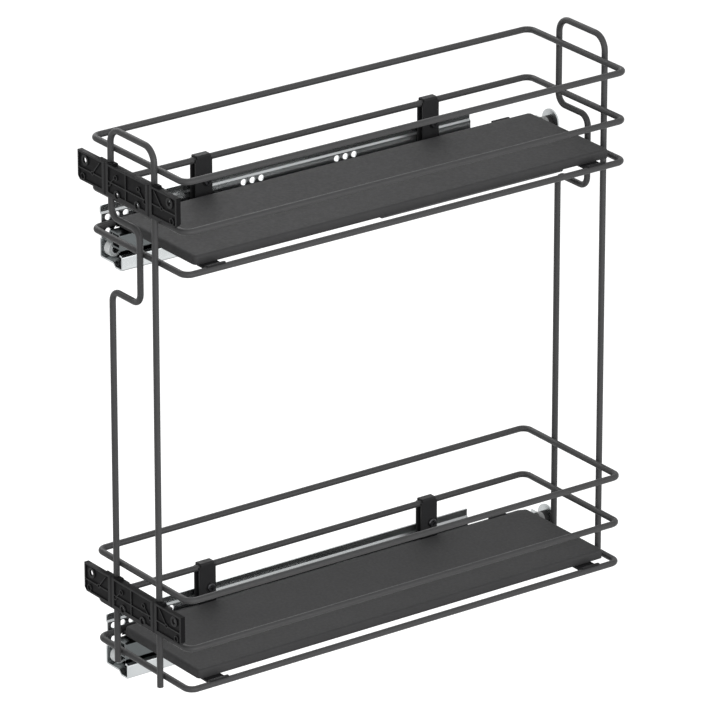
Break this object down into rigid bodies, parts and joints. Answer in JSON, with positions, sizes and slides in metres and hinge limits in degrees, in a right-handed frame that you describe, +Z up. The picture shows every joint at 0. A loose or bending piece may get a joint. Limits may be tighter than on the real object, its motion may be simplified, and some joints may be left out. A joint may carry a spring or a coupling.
{
  "type": "pull-out detergent rack",
  "caption": "Narrow pull-out rack: black wire baskets with sheet trays, one above the other, joined by wire hoops, on side-mounted roller runners, with ribbed door brackets.",
  "frame": {"origin": "middle screw hole of the lower runner's front group, on the back face of its screw web; that face stands 1.5 mm off the cabinet side", "axes": "+X from the cabinet side into the cabinet, -Y towards the door, which is the way the rack pulls out, +Z up"},
  "size_m": [0.1465, 0.4755, 0.5088],
  "materials": {
    "wire_coat": "dark anthracite powder coat, fine satin",
    "tray_coat": "dark anthracite powder coat, fine texture",
    "black_coat": "black powder coat, satin",
    "black_screw": "black passivated steel, satin",
    "zinc_sheet": "bright zinc-plated rolled sheet",
    "zinc_pin": "zinc-plated turned steel",
    "white_nylon": "white moulded nylon",
    "black_plastic": "black moulded plastic, satin",
    "grey_plastic": "grey moulded plastic, matte",
    "rubber": "black rubber"
  },
  "bodies": {
    "cabinet_side": {"lower_cabinet_rail": "zinc_sheet", "lower_rail_axle": "zinc_pin", "lower_rear_stop": "zinc_sheet", "lower_rear_bumper": "rubber", "lower_damper_housing": "grey_plastic", "lower_damper_catch": "black_plastic", "upper_cabinet_rail": "zinc_sheet", "upper_rail_axle": "zinc_pin", "upper_rear_stop": "zinc_sheet", "upper_rear_bumper": "rubber", "upper_damper_housing": "grey_plastic", "upper_damper_catch": "black_plastic"},
    "basket_unit": {"lower_basket_rail": "zinc_sheet", "lower_basket_axle": "zinc_pin", "lower_striker": "zinc_sheet", "lower_ring_low": "wire_coat", "lower_ring_middle": "wire_coat", "lower_ring_top": "wire_coat", "lower_hook_front": "black_coat", "lower_hook_rear": "black_coat", "lower_hook_screws": "black_screw", "lower_tray": "tray_coat", "lower_tray_clips": "black_plastic", "lower_door_bracket": "black_plastic", "lower_door_clamps": "black_plastic", "lower_clamp_screws": "black_screw", "upper_basket_rail": "zinc_sheet", "upper_basket_axle": "zinc_pin", "upper_striker": "zinc_sheet", "upper_ring_low": "wire_coat", "upper_ring_middle": "wire_coat", "upper_ring_top": "wire_coat", "upper_hook_front": "black_coat", "upper_hook_rear": "black_coat", "upper_hook_screws": "black_screw", "upper_tray": "tray_coat", "upper_tray_clips": "black_plastic", "upper_door_bracket": "black_plastic", "upper_door_clamps": "black_plastic", "upper_clamp_screws": "black_screw", "front_hoop": "wire_coat", "rear_hoop": "wire_coat"},
    "lower_middle_member": {"lower_middle_rail": "zinc_sheet", "lower_middle_axles": "zinc_pin"},
    "upper_middle_member": {"upper_middle_rail": "zinc_sheet", "upper_middle_axles": "zinc_pin"},
    "lower_rail_roller_wheel": {"lower_rail_roller": "white_nylon"},
    "lower_middle_rear_roller_wheel": {"lower_middle_rear_roller": "white_nylon"},
    "lower_middle_front_roller_wheel": {"lower_middle_front_roller": "white_nylon"},
    "lower_basket_roller_wheel": {"lower_basket_roller": "white_nylon"},
    "upper_rail_roller_wheel": {"upper_rail_roller": "white_nylon"},
    "upper_middle_rear_roller_wheel": {"upper_middle_rear_roller": "white_nylon"},
    "upper_middle_front_roller_wheel": {"upper_middle_front_roller": "white_nylon"},
    "upper_basket_roller_wheel": {"upper_basket_roller": "white_nylon"}
  },
  "joints": [
    {"name": "basket_slide", "type": "slide", "parent": "cabinet_side", "child": "basket_unit", "axis": [0, -1, 0], "range_m": [0, 0.43]},
    {"name": "lower_middle_slide", "type": "slide", "parent": "cabinet_side", "child": "lower_middle_member", "axis": [0, -1, 0], "range_m": [0, 0.215]},
    {"name": "lower_rail_roller_spin", "type": "hinge", "parent": "cabinet_side", "child": "lower_rail_roller_wheel", "pos_m": [0.0064, -0.0075, -0.0261], "axis": [1, 0, 0], "range_deg": [0, 1760]},
    {"name": "lower_middle_rear_roller_spin", "type": "hinge", "parent": "lower_middle_member", "child": "lower_middle_rear_roller_wheel", "pos_m": [0.0064, 0.397, -0.0278], "axis": [1, 0, 0], "range_deg": [0, 2240]},
    {"name": "lower_middle_front_roller_spin", "type": "hinge", "parent": "lower_middle_member", "child": "lower_middle_front_roller_wheel", "pos_m": [0.0193, -0.003, -0.01395], "axis": [1, 0, 0], "range_deg": [0, 2240]},
    {"name": "lower_basket_roller_spin", "type": "hinge", "parent": "basket_unit", "child": "lower_basket_roller_wheel", "pos_m": [0.0193, 0.397, -0.0142], "axis": [1, 0, 0], "range_deg": [0, 2240]},
    {"name": "upper_middle_slide", "type": "slide", "parent": "cabinet_side", "child": "upper_middle_member", "axis": [0, -1, 0], "range_m": [0, 0.215]},
    {"name": "upper_rail_roller_spin", "type": "hinge", "parent": "cabinet_side", "child": "upper_rail_roller_wheel", "pos_m": [0.0064, -0.0075, 0.3439], "axis": [1, 0, 0], "range_deg": [0, 1760]},
    {"name": "upper_middle_rear_roller_spin", "type": "hinge", "parent": "upper_middle_member", "child": "upper_middle_rear_roller_wheel", "pos_m": [0.0064, 0.397, 0.3422], "axis": [1, 0, 0], "range_deg": [0, 2240]},
    {"name": "upper_middle_front_roller_spin", "type": "hinge", "parent": "upper_middle_member", "child": "upper_middle_front_roller_wheel", "pos_m": [0.0193, -0.003, 0.35605], "axis": [1, 0, 0], "range_deg": [0, 2240]},
    {"name": "upper_basket_roller_spin", "type": "hinge", "parent": "basket_unit", "child": "upper_basket_roller_wheel", "pos_m": [0.0193, 0.397, 0.3558], "axis": [1, 0, 0], "range_deg": [0, 2240]}
  ],
  "couplings": [
    {"joint": "lower_middle_slide", "follows": "basket_slide", "ratio": 0.5},
    {"joint": "lower_rail_roller_spin", "follows": "basket_slide", "rad_per_m": 71.429},
    {"joint": "lower_middle_rear_roller_spin", "follows": "basket_slide", "rad_per_m": 90.909},
    {"joint": "lower_middle_front_roller_spin", "follows": "basket_slide", "rad_per_m": 90.909},
    {"joint": "lower_basket_roller_spin", "follows": "basket_slide", "rad_per_m": 90.909},
    {"joint": "upper_middle_slide", "follows": "basket_slide", "ratio": 0.5},
    {"joint": "upper_rail_roller_spin", "follows": "basket_slide", "rad_per_m": 71.429},
    {"joint": "upper_middle_rear_roller_spin", "follows": "basket_slide", "rad_per_m": 90.909},
    {"joint": "upper_middle_front_roller_spin", "follows": "basket_slide", "rad_per_m": 90.909},
    {"joint": "upper_basket_roller_spin", "follows": "basket_slide", "rad_per_m": 90.909}
  ]
}
